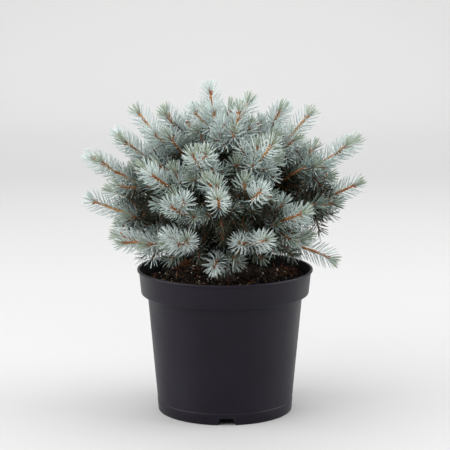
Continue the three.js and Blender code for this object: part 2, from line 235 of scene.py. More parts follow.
# Half of the pot's outline from the middle of its underside, round the rim and back down inside, with how
# much each corner is rounded.
def potOutline():
    p = pot
    inner = p["wall"]
    under = p["height"] - p["lip"]
    partingHeight, step = p["partingHeight"], p["partingStep"]
    return [
        (0, p["floor"], 0), (bodyRadius(p["floor"]) - inner, p["floor"], 1.2),
        (p["footRadius"] - inner, 0, 0.4), (p["footRadius"], 0, 1.1),
        (bodyRadius(partingHeight) - step * 0.2, partingHeight, 0.25),
        (bodyRadius(partingHeight) - step, partingHeight + 0.5, 0.25),
        (p["bodyTopRadius"] - step * 0.4, bandFoot, 0.6), (p["bandFootRadius"], bandFoot, p["bandCorner"]),
        (p["bandTopRadius"], under, 0.5), (p["rimRadius"], under + 0.5, 0.5),
        (p["rimRadius"], p["height"], 1.15), (p["rimRadius"] - 2.9, p["height"], 1.0),
        (p["bandTopRadius"] - inner, under - 1.5, 0.6),
        (p["bandFootRadius"] - inner, bandFoot + inner, 1.2),
        (p["bodyTopRadius"] - inner, bandFoot + inner, 0.8),
        (bodyRadius(p["floor"] + inner) - inner, p["floor"] + inner, 1.2), (0, p["floor"] + inner, 0),
    ]


# Spins an outline, whose corners are rounded by their third number, into a closed shape.
def spinOutline(outline, steps):
    bm = bmesh.new()
    corners = [bm.verts.new((r, 0, z)) for r, z, _ in outline]
    for pair in zip(corners, corners[1:]):
        bm.edges.new(pair)
    for corner, (_, _, rounding) in zip(corners, outline):
        if rounding:
            bmesh.ops.bevel(bm, geom=[corner], offset=rounding, offset_type="OFFSET", affect="VERTICES",
                            segments=3, profile=0.5, material=-1)
    bmesh.ops.spin(bm, geom=bm.verts[:] + bm.edges[:], axis=(0, 0, 1), cent=(0, 0, 0), angle=fullTurn,
                   steps=steps, use_merge=True)
    bmesh.ops.remove_doubles(bm, verts=bm.verts[:], dist=0.01)
    bmesh.ops.recalc_face_normals(bm, faces=bm.faces[:])
    return bm


# The notches through the foot ring and the drain holes through the floor, as one cutter.
def potCutter():
    p = pot
    bm = bmesh.new()
    for i in range(p["notches"]):
        angle = p["firstNotch"] * degree + i * fullTurn / p["notches"]
        made = bmesh.ops.create_cube(bm, size=1)["verts"]
        for v in made:
            top = v.co.z > 0
            v.co.z = p["notchHeight"] if top else -p["cutBelow"]
            v.co.y *= p["notchTop"] if top else p["notchFoot"] + p["notchFlare"]
            v.co.x = p["footRadius"] + v.co.x * p["notchReach"]
        bmesh.ops.rotate(bm, verts=made, cent=(0, 0, 0), matrix=Matrix.Rotation(angle, 3, "Z"))
        hole = bmesh.ops.create_cone(bm, cap_ends=True, segments=32, radius1=p["drainRadius"],
                                     radius2=p["drainRadius"], depth=p["drainCut"])["verts"]
        bmesh.ops.translate(bm, verts=hole, vec=(p["drainCircle"], 0, p["floor"]))
        bmesh.ops.rotate(bm, verts=hole, cent=(0, 0, 0), matrix=Matrix.Rotation(angle, 3, "Z"))
    bmesh.ops.recalc_face_normals(bm, faces=bm.faces[:])
    return bm


# Takes one bmesh out of another with a Boolean modifier, and gives the result as a bmesh.
def cutAway(bm, cutter):
    objects = []
    for name, model in (("whole", bm), ("cutter", cutter)):
        mesh = bpy.data.meshes.new(name)
        model.to_mesh(mesh)
        model.free()
        objects.append(bpy.data.objects.new(name, mesh))
        bpy.context.scene.collection.objects.link(objects[-1])
    whole, tool = objects
    cut = whole.modifiers.new("cut", "BOOLEAN")
    cut.operation = "DIFFERENCE"
    cut.solver = "MANIFOLD"
    cut.object = tool
    shown = whole.evaluated_get(bpy.context.evaluated_depsgraph_get())
    result = bmesh.new()
    result.from_mesh(shown.to_mesh())
    shown.to_mesh_clear()
    for o in objects:
        bpy.data.objects.remove(o)
    return result


# Black polypropylene, injection moulded: a satin skin that is a little uneven where the mould was, with a
# faint film of dust that dulls its gloss in places.
def potPlastic():
    material, shader = startMaterial("Moulded black polypropylene", "#130F1A", 0.42, 0.21)
    shader.inputs["IOR"].default_value = 1.49
    place = placeOf(material)
    film = addNode(material, "ShaderNodeTexNoise", {"Scale": scaleFor(45), "Detail": 4.0},
                   {"Vector": place})
    colour = colourBy(material, film.outputs["Fac"], [(0.35, "#110D17"), (0.75, "#16121D")])
    link(material, colour, shader.inputs["Base Color"])
    gloss = addNode(material, "ShaderNodeMapRange", {"From Min": 0.3, "From Max": 0.75, "To Min": 0.36,
                                                     "To Max": 0.5}, {"Value": film.outputs["Fac"]})
    link(material, gloss.outputs["Result"], shader.inputs["Roughness"])
    grain = addNode(material, "ShaderNodeTexNoise", {"Scale": scaleFor(0.8), "Detail": 2.0},
                    {"Vector": place})
    addBump(material, shader, grain.outputs["Fac"], 0.04, 0.35)
    return material


potModel = cutAway(spinOutline(potOutline(), pot["steps"]), potCutter())
for face in potModel.faces:  # faces of the inner wall above the compost take a near-black material, painted shade where the crown shades the wall
    middle = face.calc_center_median()
    away = math.hypot(middle.x, middle.y)
    inward = face.normal.x * middle.x + face.normal.y * middle.y < -0.5 * away
    face.material_index = int(inward and pot["paintedShadeFoot"] < middle.z < pot["paintedShadeTop"])
# Painted shade: a near-black, matt, mottled finish on the inner wall above the compost stands in for the
# crown's shade.
paintedShadeInside = mottled("Polypropylene darkened as painted shade", "#0B090B", "#060506", 0.75, 7, 0.12)
keepModel("pot_shell", potModel, [potPlastic(), paintedShadeInside], ["pot"])


soil = {
    "level": 171, "edge": 108.7, "relief": 3.4, "wave": 26, "crumb": 4.2, "crumbRelief": 2.6, "sink": 1.2,
    "rings": 74, "steps": 230, "clearing": 15, "calm": 18, "gap": 0.25, "bumpTop": 4.16,
}
heaps = [  # where bark fibres lie heaped up
    {"place": (-46, 76), "height": 9, "spread": 27, "fibres": 330},
    {"place": (86, 42), "height": 7, "spread": 24, "fibres": 190},
]
crumbs = {"count": 3600, "smallest": 0.6, "largest": 2.8}
fibres = {
    "loose": 420, "length": (3, 13), "width": (0.3, 0.85), "gather": 0.55, "steep": 0.22, "bend": 0.2,
    "reach": 106,
}
perlite = {"count": 170, "smallest": 0.8, "largest": 1.9}


def soilHeight(x, y):
    away = math.hypot(x, y)
    wave = noise.fractal(Vector((x / soil["wave"], y / soil["wave"], 3.7)), 0.9, 2.1, 3)
    fine = noise.fractal(Vector((x / soil["crumb"], y / soil["crumb"], 8.1)), 0.8, 2.0, 3)
    fromTrunk = min(max((away - soil["clearing"]) / soil["calm"], 0), 1)
    heaped = sum(heap["height"] * math.exp(-(math.dist((x, y), heap["place"]) / heap["spread"]) ** 2)
                 for heap in heaps)
    return (soil["level"] + soil["relief"] * wave * (0.35 + 0.65 * fromTrunk) + heaped
            + soil["crumbRelief"] * abs(fine) - soil["sink"])


def soilModel():
    inner = pot["wall"] + soil["gap"]
    floor = pot["floor"] + inner
    shelf = bandFoot + 2.1  # just above the step inside the collar
    profile = [
        (0, floor, 0), (bodyRadius(floor) - inner, floor, 1), (pot["bodyTopRadius"] - inner, shelf, 1),
        (pot["bandFootRadius"] - inner - 0.4, shelf, 1), (soil["edge"] - 1, soil["level"] - 4.5, 0),
    ]
    for i in range(soil["rings"] + 1):
        profile.append((soil["edge"] * (1 - i / soil["rings"]), soil["level"], 0))
    bm = spinOutline(profile, soil["steps"])
    for v in bm.verts:
        if v.co.z > soil["level"] - 0.01:
            away = math.hypot(v.co.x, v.co.y)
            v.co.z = soilHeight(v.co.x, v.co.y)
            if away > soil["edge"] - 0.5:
                v.co.z -= soil["sink"]
    return bm


# Peat compost: dark, matt and crumbly, with redder fibres in it and damp black hollows.
def compostEarth():
    material, shader = startMaterial("Peat compost", "#2A1C13", 0.95, 0.25)
    place = placeOf(material)
    clods = addNode(material, "ShaderNodeTexNoise", {"Scale": scaleFor(9), "Detail": 5.0, "Roughness": 0.7},
                    {"Vector": place})
    colour = colourBy(material, clods.outputs["Fac"],
                      [(0.3, "#0A0705"), (0.5, "#150F0A"), (0.66, "#271B12"), (0.82, "#442D1E")])
    link(material, colour, shader.inputs["Base Color"])
    grains = addNode(material, "ShaderNodeTexNoise", {"Scale": scaleFor(1.4), "Detail": 4.0},
                     {"Vector": place})
    addBump(material, shader, grains.outputs["Fac"], 1.2, 0.9)
    return material


# Random places on the compost, clear of the wall and the trunk.
def scatter(random, count, reach=104.0):
    angle = random.uniform(0, fullTurn, count)
    away = np.sqrt(random.uniform((soil["clearing"] / reach) ** 2, 1, count)) * reach
    x, y = away * np.cos(angle), away * np.sin(angle)
    z = np.array([soilHeight(a, b) for a, b in zip(x, y)])
    return np.stack([x, y, z], 1)


def anyWay(random, count, steep):
    way = random.normal(0, 1, (count, 3)) * [1, 1, steep]
    return way / np.linalg.norm(way, axis=1, keepdims=True)


# Loose lumps, most of them small, that lie a little less than half sunk in the compost.
def scatterPiece(name, random, shapes, settings, materials):
    points, triangles, tones, offset = [], [], [], 0
    share = settings["count"] // len(shapes)
    larger = settings["largest"] - settings["smallest"]
    for shape in shapes:
        start = scatter(random, share)
        size = settings["smallest"] + larger * random.power(0.45, share)
        way = anyWay(random, share, 0.5)
        start[:, 2] += size * 0.25
        placed, faces = copiesOf(shape, start, way, way * 0, size, size * random.uniform(0.6, 1.0, share))
        points.append(placed)
        triangles.append(faces + offset)
        tones.append(np.repeat(random.integers(0, len(materials), share), len(shape[1])))
        offset += len(placed)
    mesh = meshOf(name, np.concatenate(points), np.concatenate(triangles), np.concatenate(tones), False)
    return keepPiece(name, mesh, materials)


earth = compostEarth()
keepModel("compost", soilModel(), [earth], ["soil"], sharp=80)
random = np.random.default_rng(7)
lumps = [shapeOf(lumpShape(seed, 0.7)) for seed in (3, 11, 27)]
crumbTones = [mottled(name, code, darker, 0.95, 1.5, 0.2) for name, code, darker in (
    ("Black peat crumb", "#0D0906", "#060403"), ("Dark peat crumb", "#1A120C", "#0C0805"),
    ("Dark peat crumb, drier", "#241A12", "#120C08"), ("Brown bark crumb", "#3D2A1C", "#20150D"))]
scatterPiece("compost_crumbs", random, lumps, crumbs, crumbTones)
grainTones = [mottled("Perlite grain", "#CFCABC", "#A09A8C", 0.85, 1, 0.3)]
scatterPiece("perlite_grains", random, lumps, perlite, grainTones)

# Bark fibres are thin three-sided slivers, some of them standing up where the compost was loosened.
fibreShape = shapeOf(rodShape(3, 2, 0.25))
places = [scatter(random, fibres["loose"])[:, :2]]
places += [heap["place"] + random.normal(0, fibres["gather"] * heap["spread"], (heap["fibres"], 2))
           for heap in heaps]
inHeap = np.arange(sum(map(len, places))) >= fibres["loose"]
start = np.array([[x, y, soilHeight(x, y)] for x, y in np.concatenate(places)])
way = anyWay(random, len(start), fibres["steep"])
way[:, 2] = abs(way[:, 2])
length = random.uniform(*fibres["length"], len(start))
width = random.uniform(*fibres["width"], len(start))
inside = np.hypot(*(start + way * length[:, None])[:, :2].T) < fibres["reach"]
start, way, length = start[inside], way[inside], length[inside]
width, inHeap = width[inside], inHeap[inside]
bend = anyWay(random, len(start), 0.3) * fibres["bend"]
placed, faces = copiesOf(fibreShape, start, way, bend, length, width)
tones = np.repeat(np.where(inHeap, random.integers(0, 2, len(start)), random.integers(0, 4, len(start))),
                  len(fibreShape[1]))
fibreTones = [mottled(name, code, darker, 0.9, 3, 0.2) for name, code, darker in (
    ("Reddish bark fibre", "#8C5230", "#5A3019"), ("Brown bark fibre", "#5A3A25", "#332013"),
    ("Tan bark fibre", "#8E7152", "#5C4630"), ("Straw", "#AC9671", "#7A6547"))]
keepPiece("bark_fibres", meshOf("bark_fibres", placed, faces, tones), fibreTones)


gap = 0.3
trunk = {"flare": 13.5, "foot": 8.6, "tip": 3.1, "top": 322, "lean": (-4, 2)}
bough = {"share": 0.34, "lowest": 206, "highest": 308, "root": 4.1, "tip": 2.5, "arch": 0.2}
needle = {"length": 17.5, "tuft": 0.85}
# A mass whose tip is below "level" is a flat spray, and one below "lone" has one ring of side shoots.
shoot = {
    "shortest": 17, "spread": 52, "forward": 0.28, "level": 270, "lone": 215, "usual": 95, "longest": 1.1,
    "shorter": 0.84, "turn": 30, "wander": 24, "stray": 0.06, "hanging": -0.3, "oldBetween": (215, 300),
}
cell = {"centre": np.array([0, 0, 252.0]), "twigGap": 6, "potGap": 20}
nodes = [
    {"at": 0.1, "rolls": [15, 165, 268], "length": 58},
    {"at": 0.4, "rolls": [-12, 88, 192, 275], "length": 39},
]

# Each mass reaches a furthest needle tip at this many degrees round from +X, this far from the axis and
# this high. The last two numbers are the droop of its limb and its seed.
masses = {
    "leader": (180, 22, 434, 0, 11),
    "top_right": (-60, 42, 412, 0, 12),
    "top_left": (166, 84, 402, 0, 13),
    "crown_left": (180, 120, 402, 0, 14),
    "crown_right": (4, 82, 405, 0, 15),
    "high_right": (8, 118, 398, 0, 16),
    "crown_front_right": (-55, 112, 372, 0, 17),
    "crown_front_left": (-112, 116, 360, 0, 18),
    "crown_back": (92, 96, 390, 0, 19),
    "high_left": (184, 146, 372, 0, 20),
    "side_right": (-6, 178, 363, 0, 21),
    "side_left": (190, 184, 344, 0, 22),
    "high_front_left": (-133, 146, 334, 0, 23),
    "high_back_left": (132, 158, 345, 0, 24),
    "high_back_right": (46, 158, 343, 0, 25),
    "front_left": (-117, 162, 298, 0, 26),
    "front": (-93, 176, 312, 0, 27),
    "front_right": (-73, 164, 320, 0, 28),
    "side_front_right": (-49, 160, 285, 0, 29),
    "back": (91, 176, 306, 0, 40),
    "low_right": (2, 183, 303, 0, 31),
    "low_left": (186, 184, 285, 0, 32),
    "low_back_left": (150, 172, 282, 0, 33),
    "low_back_right": (30, 172, 284, 0, 34),
    "foot_left": (200, 152, 230, 10, 47),
    "foot_right": (-8, 150, 197, 30, 36),
    "foot_front_left": (-117, 146, 246, 0, 37),
    "foot_front_right": (-70, 160, 254, 0, 38),
    "skirt": (-98, 112, 205, 12, 39),
}


def unit(v):
    return v / np.linalg.norm(v, axis=-1, keepdims=True)


# Curves are quadratic, each given by three points.
def pointOn(curve, t):
    t = np.asarray(t, dtype=float)[..., None]
    return (1 - t) ** 2 * curve[0] + 2 * t * (1 - t) * curve[1] + t * t * curve[2]


def slopeOn(curve, t):
    t = np.asarray(t, dtype=float)[..., None]
    return 2 * (1 - t) * (curve[1] - curve[0]) + 2 * t * (curve[2] - curve[1])


def frameOn(curve, t):
    ahead = unit(slopeOn(curve, t))
    upright = abs(unit(curve[2] - curve[0])[2]) > 0.92
    side = unit(np.cross(ahead, [1, 0, 0] if upright else [0, 0, 1]))
    return ahead, side, np.cross(side, ahead)


def lengthOf(curve):
    points = pointOn(curve, np.linspace(0, 1, 65))
    return float(np.linalg.norm(np.diff(points, axis=0), axis=1).sum())


def stretch(curve, first, last):
    start, end = pointOn(curve, first), pointOn(curve, last)
    return np.array([start, start + slopeOn(curve, first) * (last - first) / 2, end])


trunkFoot = np.array([0, 0, soil["level"] + gap])
trunkTip = np.array([*trunk["lean"], trunk["top"]], dtype=float)
trunkCurve = np.array([
    trunkFoot,
    [trunk["lean"][0] * 0.1, trunk["lean"][1] * 0.1, (trunkFoot[2] + trunk["top"]) / 2],
    trunkTip,
])


def trunkRadius(t):
    return (trunk["foot"] + (trunk["tip"] - trunk["foot"]) * t
            + (trunk["flare"] - trunk["foot"]) * np.exp(-14 * t))


def boughRadius(t):
    return bough["root"] + (bough["tip"] - bough["root"]) * t


def placeMasses():
    placed = {}
    for name, (angle, reach, height, droop, seed) in masses.items():
        point = np.array([reach * math.cos(angle * degree), reach * math.sin(angle * degree), height])
        steepness = math.atan2(height - cell["centre"][2], reach)
        placed[name] = {"name": name, "point": point, "droop": droop, "seed": seed, "steepness": steepness,
                        "toward": unit(point - cell["centre"])}
    order = sorted([n for n in placed if n != "leader"], key=lambda n: placed[n]["steepness"])
    for name, mass in placed.items():
        first = name == "leader"
        rank = 0 if first else order.index(name) / (len(order) - 1)
        height = bough["lowest"] + (bough["highest"] - bough["lowest"]) * rank
        t = (height - trunkFoot[2]) / (trunk["top"] - trunkFoot[2])
        root = trunkTip if first else pointOn(trunkCurve, t)
        middle = (root + mass["point"]) / 2
        if not first:
            middle[2] += mass["droop"] - bough["arch"] * (mass["point"][2] - root[2])
        bud = mass["point"] - unit(mass["point"] - middle) * needle["length"] * needle["tuft"]
        mass["limb"] = np.array([root, middle, bud])
        mass["entry"] = 0 if first else bough["share"]
        mass["bough"] = None if first else stretch(mass["limb"], 0, mass["entry"])
    return placed


def randomFrom(seed):
    state = [seed * 7919 + 101]

    def draw():
        state[0] = (state[0] * 1664525 + 1013904223) % 4294967296
        return state[0] / 4294967296
    return draw


plant = placeMasses()
towards = {name: unit(np.array([mass["toward"] - other["toward"] for other in plant.values()
                                if other is not mass])) for name, mass in plant.items()}
boughs = [mass["bough"] for mass in plant.values() if mass["bough"] is not None]
shares = np.arange(13) / 12
limbPoints = np.concatenate([pointOn(curve, shares) for curve in [trunkCurve, *boughs]])
limbRadii = np.concatenate([trunkRadius(shares)] + [boughRadius(shares)] * len(boughs))


def depthInCell(mass, point):
    return float((towards[mass["name"]] @ (point - cell["centre"])).min())


def awayFromLimbs(point):
    return float((np.linalg.norm(limbPoints - point, axis=1) - limbRadii).min())


# Is each point clear of the pot and the compost?
def clearOfPot(points, room):
    away = np.hypot(points[..., 0], points[..., 1])
    overSoil = points[..., 2] > soil["level"] + soil["bumpTop"] + room
    overRim = points[..., 2] > pot["height"] + room
    return overRim | (overSoil & (away < pot["bandFootRadius"] - pot["wall"] - room))


# A shoot that would leave its mass's cell or touch a limb or the pot is made shorter, or left out.
def sideShoot(mass, parent, at, roll, spread, length, room=cell["twigGap"], shortest=shoot["shortest"]):
    ahead, side, lift = frameOn(parent, at)
    start = pointOn(parent, at)
    leave = ahead * math.cos(spread) + (side * math.cos(roll) + lift * math.sin(roll)) * math.sin(spread)
    size = length
    while size >= shortest:
        end = start + leave * size * (1 - shoot["forward"]) + ahead * size * shoot["forward"]
        curve = np.array([start, start + leave * size * 0.5, end])
        tests = [pointOn(curve, share) for share in (0.6, 1)]
        if all(depthInCell(mass, p) > room and awayFromLimbs(p) > room and clearOfPot(p, cell["potGap"])
               for p in tests):
            return curve
        size *= shoot["shorter"]
    return None


def growMass(mass):
    draw = randomFrom(mass["seed"])
    first = mass["entry"] + gap / np.linalg.norm(slopeOn(mass["limb"], mass["entry"]))
    lead = stretch(mass["limb"], first, 1)
    scale = min(shoot["longest"], lengthOf(lead) / shoot["usual"])
    turned = draw() * shoot["turn"] - shoot["turn"] / 2
    sides = []
    for node in nodes[:1] if mass["point"][2] < shoot["lone"] else nodes:
        for roll in node["rolls"]:
            at = node["at"] + shoot["stray"] * (draw() - 0.5)
            aside = (roll + turned + shoot["wander"] * (draw() - 0.5)) * degree
            spread = shoot["spread"] * degree * (0.88 + 0.24 * draw())
            length = node["length"] * scale * (0.85 + 0.3 * draw())
            leftOut = mass["point"][2] < shoot["level"] and abs(math.sin(aside)) > 0.5
            curve = None if leftOut else sideShoot(mass, lead, at, aside, spread, length)
            if curve is not None:
                sides.append(curve)
    return lead, sides


# The same rule carried one step finer. A few short young shoots stand on the side shoots and near the tips
# of the leading twigs, and many short old ones inside, which the outer shoots keep in the dark.
finer = {
    "onSides": [(0.5, 20), (0.5, 165)], "sideLength": 26, "sideShare": 0.1,
    "onLead": [(0.72, 12), (0.72, 168)], "leadLength": 30, "leadShare": 0.25,
    "room": 5, "shortest": 16,
    "oldOnBough": [(0.36, 100), (0.5, 300), (0.62, 200), (0.8, 120), (0.9, 10), (0.97, 240)],
    "oldOnLead": [(0.06, 60), (0.15, 320), (0.24, 130), (0.34, 225)],
    "oldOnSides": [(0.12, 90), (0.3, 250)],
    "oldLength": 27, "oldTurn": 70, "oldRoom": 10,
}


def oldShoots(parent, spots, draw):
    grown = []
    for at, roll in spots:
        ahead, side, lift = frameOn(parent, at)
        angle = (roll + finer["oldTurn"] * draw()) * degree
        out = side * math.cos(angle) + lift * math.sin(angle)
        start = pointOn(parent, at)
        size = finer["oldLength"] * (0.7 + 0.5 * draw())
        end = start + (ahead * 0.6 + out * 0.75) * size
        if clearOfPot(end, finer["oldRoom"]):
            grown.append(np.array([start, start + (ahead * 0.3 + out * 0.5) * size, end]))
    return grown


def growFiner(mass, lead, sides):
    draw = randomFrom(mass["seed"] + 400)
    young = []
    for parents, spots, length, share in (
            (sides, finer["onSides"], finer["sideLength"], finer["sideShare"]),
            ([lead], finer["onLead"], finer["leadLength"], finer["leadShare"])):
        for parent in parents:
            for at, roll in spots:
                chance = draw()
                curve = sideShoot(mass, parent, at + 0.1 * draw(), (roll + 40 * draw() - 20) * degree,
                                  shoot["spread"] * degree, length * (0.8 + 0.4 * draw()), finer["room"],
                                  finer["shortest"])
                if curve is not None and chance < share and lengthOf(parent) > length * 1.5:
                    young.append(curve)
    old = oldShoots(lead, finer["oldOnLead"], draw)
    if mass["bough"] is not None:
        old += oldShoots(mass["bough"], finer["oldOnBough"], draw)
    for curve in sides:
        old += oldShoots(curve, finer["oldOnSides"], draw)
    return young, old


# Ages of shoots: this year's, last year's, the short old ones inside, and the boughs themselves.
thisYear, lastYear, oldInner, onBough = range(4)
# Radii of a shoot at its root and at its tip.
twigRadii = {
    "leadFoot": (bough["tip"], 2.0), "leadTip": (2.0, 1.5), "side": (1.75, 1.35), "young": (1.45, 1.2),
    "old": (1.3, 0.9), "bough": (2.6, 2.5),
}
shoots = []


def addShoot(mass, curve, kind, age):
    root, tip = twigRadii[kind]
    shoots.append({"curve": curve, "root": root, "tip": tip, "age": age, "mass": mass})


# Side shoots that hang down low inside the crown look like old ones.
def ageOfSide(curve):
    lowest, highest = shoot["oldBetween"]
    hangs = unit(curve[2] - curve[0])[2] < shoot["hanging"] and lowest < curve[2][2] < highest
    return oldInner if hangs else thisYear


for mass in plant.values():
    lead, sides = growMass(mass)
    young, old = growFiner(mass, lead, sides)
    whorl = nodes[1]["at"]
    addShoot(mass, stretch(lead, 0, whorl), "leadFoot", lastYear)
    addShoot(mass, stretch(lead, whorl, 1), "leadTip", thisYear)
    for curve in sides:
        addShoot(mass, curve, "side", ageOfSide(curve))
    for curve in young:
        addShoot(mass, curve, "young", thisYear)
    for curve in old:
        addShoot(mass, curve, "old", oldInner)
    if mass["bough"] is not None:
        addShoot(mass, stretch(mass["bough"], 0.3, 1), "bough", onBough)
print("grown:", len(shoots), "shoots,", round(sum(lengthOf(s["curve"]) for s in shoots)), "mm")


bark = {
    "boughSides": 14, "boughRings": 34, "trunkSides": 40, "trunkRings": 90,
    "relief": 0.13, "flake": 3.2, "lump": 7.0, "lumpShare": 0.7,
}


# Bends a rod along a curve and roughens it.
def barkLimb(curve, radiusAt, sides, rings):
    points, triangles = shapeOf(rodShape(sides, rings))
    t = points[:, 2]
    ahead, side, lift = frameOn(curve, t)
    placed = []
    centres = pointOn(curve, t)
    for i, (x, y, _) in enumerate(points):
        out = side[i] * y + lift[i] * x
        radius = radiusAt(t[i])
        spot = Vector(centres[i] + out * radius)
        flakes = noise.fractal(spot / bark["flake"], 0.8, 2.0, 3)
        lumps = bark["lumpShare"] * abs(noise.noise(spot / bark["lump"]))
        placed.append(centres[i] + out * radius * (1 + (flakes + lumps) * bark["relief"]))
    return np.array(placed), triangles


def gather(parts):
    points, triangles, offset = [], [], 0
    for placed, faces in parts:
        points.append(placed)
        triangles.append(faces + offset)
        offset += len(placed)
    return np.concatenate(points), np.concatenate(triangles)


# Old spruce bark: grey-brown, in small flakes with darker cracks between them.
def trunkBark():
    material, shader = startMaterial("Flaking spruce bark", "#34281F", 0.9, 0.25)
    place = placeOf(material)
    flakes = addNode(material, "ShaderNodeTexVoronoi", {"Scale": scaleFor(3.2)}, {"Vector": place})
    patches = addNode(material, "ShaderNodeTexNoise", {"Scale": scaleFor(7), "Detail": 4.0},
                      {"Vector": place})
    colour = colourBy(material, patches.outputs["Fac"],
                      [(0.3, "#1E1711"), (0.5, "#34281F"), (0.68, "#4B3A2C")])
    link(material, colour, shader.inputs["Base Color"])
    addBump(material, shader, flakes.outputs["Distance"], 0.9, 0.8)
    return material


boughNodes = ["bough_" + m["name"] for m in plant.values() if m["bough"] is not None]
limbs = gather([barkLimb(curve, boughRadius, bark["boughSides"], bark["boughRings"]) for curve in boughs])
oldBark = trunkBark()
keepPiece("bough_wood", meshOf("bough_wood", *limbs), [oldBark], boughNodes)
stump = barkLimb(trunkCurve, trunkRadius, bark["trunkSides"], bark["trunkRings"])
keepPiece("trunk_wood", meshOf("trunk_wood", *stump), [oldBark], ["trunk"])


foliage = {
    thisYear: {"density": 1.5, "length": 17.0, "width": 0.57, "angle": 61, "parting": 24},
    lastYear: {"density": 1.3, "length": 15.0, "width": 0.55, "angle": 66, "parting": 10},
    oldInner: {"density": 1.3, "length": 12.5, "width": 0.5, "angle": 62, "parting": 0},
    onBough: {"density": 0.9, "length": 13.0, "width": 0.5, "angle": 66, "parting": 0},
}
spray = {  # how the needles of one shoot vary along it
    "fewest": 6, "stray": 0.2, "tipLean": 30, "leanOver": 9, "unruly": 2.2, "sizes": (0.93, 1.05),
    "rootSize": 0.68, "rootTaper": 28, "tipSize": 0.84, "tipTaper": 40,
    "rise": 0.08, "bends": (0.13, 0.2), "bendRise": 0.03, "stand": 0.3, "tipRoom": 1.0, "rootRoom": 0.5,
}
tuft = {"needles": 14, "length": 14.6, "spread": (8, 48), "at": 0.995, "sizes": (0.8, 1.05)}
peg = {"length": 2.3, "sunk": 1.1, "stoutness": 1.5, "lean": 0.3}
buds = {
    "length": 5.6, "width": 1.5, "sideLength": 5.2, "sideWidth": 1.45, "sideSizes": (0.85, 1.1),
    "taper": 0.45, "sunk": 0.8, "back": 3.5, "apart": 1.5, "turn": 2.4,
}
goldenAngle = math.pi * (3 - math.sqrt(5))
hub = np.array([0, 0, 205.0])  # shoots show their bare side away from here
hubShift = np.array([0, -30, -20])  # and a little more towards the front and the ground
upward = np.array([0.0, 0.0, 1.0])


# A needle is widest at two thirds of its length and ends in a point.
def needleShape():
    bm = rodShape(4, 2, 0.0)
    stout = {0: (0.6, 0), 1: (1.5, 0.3), 2: (2.9, 0.82), 3: (0, 1)}
    for v in bm.verts:
        share, along = stout[round(v.co.z * 3)]
        v.co = (v.co.x * share, v.co.y * share, along)
    return shapeOf(bm)


# Where the needles of one shoot stand: round it in a spiral, parted on its outer side so that the twig
# shows, and leaning forward more towards its tip, which ends in a tuft. The last list says which are in it.
def needlesOn(shootHere, random):
    kind = foliage[shootHere["age"]]
    curve = shootHere["curve"]
    long = lengthOf(curve)
    count = max(spray["fewest"], int(long * kind["density"]))
    t = (np.arange(count) + 0.5 + random.uniform(-spray["stray"], spray["stray"], count)) / count
    roll = np.arange(count) * goldenAngle + random.uniform(0, fullTurn)
    toTip = (1 - t) * long
    fromRoot = t * long
    angle = (kind["angle"] - spray["tipLean"] * np.clip(1 - toTip / spray["leanOver"], 0, 1)
             + random.normal(0, spray["unruly"], count))
    size = kind["length"] * random.uniform(*spray["sizes"], count)
    size *= (np.clip(spray["rootSize"] + fromRoot / spray["rootTaper"], 0, 1)
             * np.clip(spray["tipSize"] + toTip / spray["tipTaper"], 0, 1))
    if shootHere["age"] == thisYear:
        extra = tuft["needles"]
        t = np.append(t, np.full(extra, tuft["at"]))
        roll = np.append(roll, np.arange(extra) * goldenAngle)
        angle = np.append(angle, random.uniform(*tuft["spread"], extra))
        size = np.append(size, tuft["length"] * random.uniform(*tuft["sizes"], extra))
    inTuft = np.arange(len(t)) >= count
    ahead, side, lift = frameOn(curve, t)
    outer = pointOn(curve, 0.6) - hub + hubShift
    opening = np.arctan2(lift @ outer, side @ outer)
    apart = (roll - opening + math.pi) % fullTurn - math.pi
    parting = kind["parting"] * degree
    apart = np.where(inTuft, apart, np.sign(apart) * (parting + (math.pi - parting) * abs(apart) / math.pi))
    roll = opening + apart
    out = side * np.cos(roll)[:, None] + lift * np.sin(roll)[:, None]
    lean = angle[:, None] * degree
    way = unit(ahead * np.cos(lean) + out * np.sin(lean) + upward * spray["rise"])
    radius = shootHere["root"] + (shootHere["tip"] - shootHere["root"]) * t
    start = pointOn(curve, t) + out * (radius + spray["stand"])[:, None]
    bend = ahead * random.uniform(*spray["bends"], len(t))[:, None] + upward * spray["bendRise"]
    end = start + (way + bend) * size[:, None]
    keep = clearOfPot(end, spray["tipRoom"]) & clearOfPot(start, spray["rootRoom"])
    return start[keep], way[keep], bend[keep], size[keep], out[keep], inTuft[keep]


# Spruce needles: stiff and four-sided, with a waxy bloom that makes them a pale grey-blue and nearly matt.
# The newest are a little greener, and the old ones have lost their bloom. These tones run from light to
# dark, and tonesOf deals them out partly as painted light and shade, so the darkest also go to shaded
# places inside.
needleTones = [mottled(*row) for row in (
    ("Needle, palest bloom", "#C4CFCD", "#B3BFBC", 0.62),
    ("Needle, pale bloom", "#B5C1BE", "#A5B2AE", 0.62),
    ("Needle, grey-blue bloom", "#9EACA8", "#8D9C97", 0.6),
    ("Needle, deeper grey-blue", "#84938E", "#73827C", 0.56),
    ("Needle, last year's and painted shade", "#616D60", "#505B4E", 0.52),
    ("Needle, old and green, and painted shade", "#444A34", "#363B28", 0.48),
    ("Needle, oldest, and deepest painted shade", "#2C2D1E", "#212116", 0.48),
    ("Needle, new and greenish", "#9DA898", "#8A9583", 0.56),
)]
greenish = len(needleTones) - 1
# Most of these paint light and shade into the needle tones: lighter with height, a band of painted shade
# between the tiers, and old shoots darker low down.
bloom_and_painted_light = {
    "levels": [0.36, 0.43, 0.48, 0.55, 0.64, 0.78], "spread": 0.05, "middle": 330, "above": 0.008,
    "paintedLightBelow": -0.0015, "paintedShadeBand": 0.24, "paintedShadeHeight": 282, "paintedShadeSpread": 28, "oldAndShadedDrop": 0.26, "oldAndShadedTop": 305,
    "paleTones": 3, "greenTufts": 0.6,
}
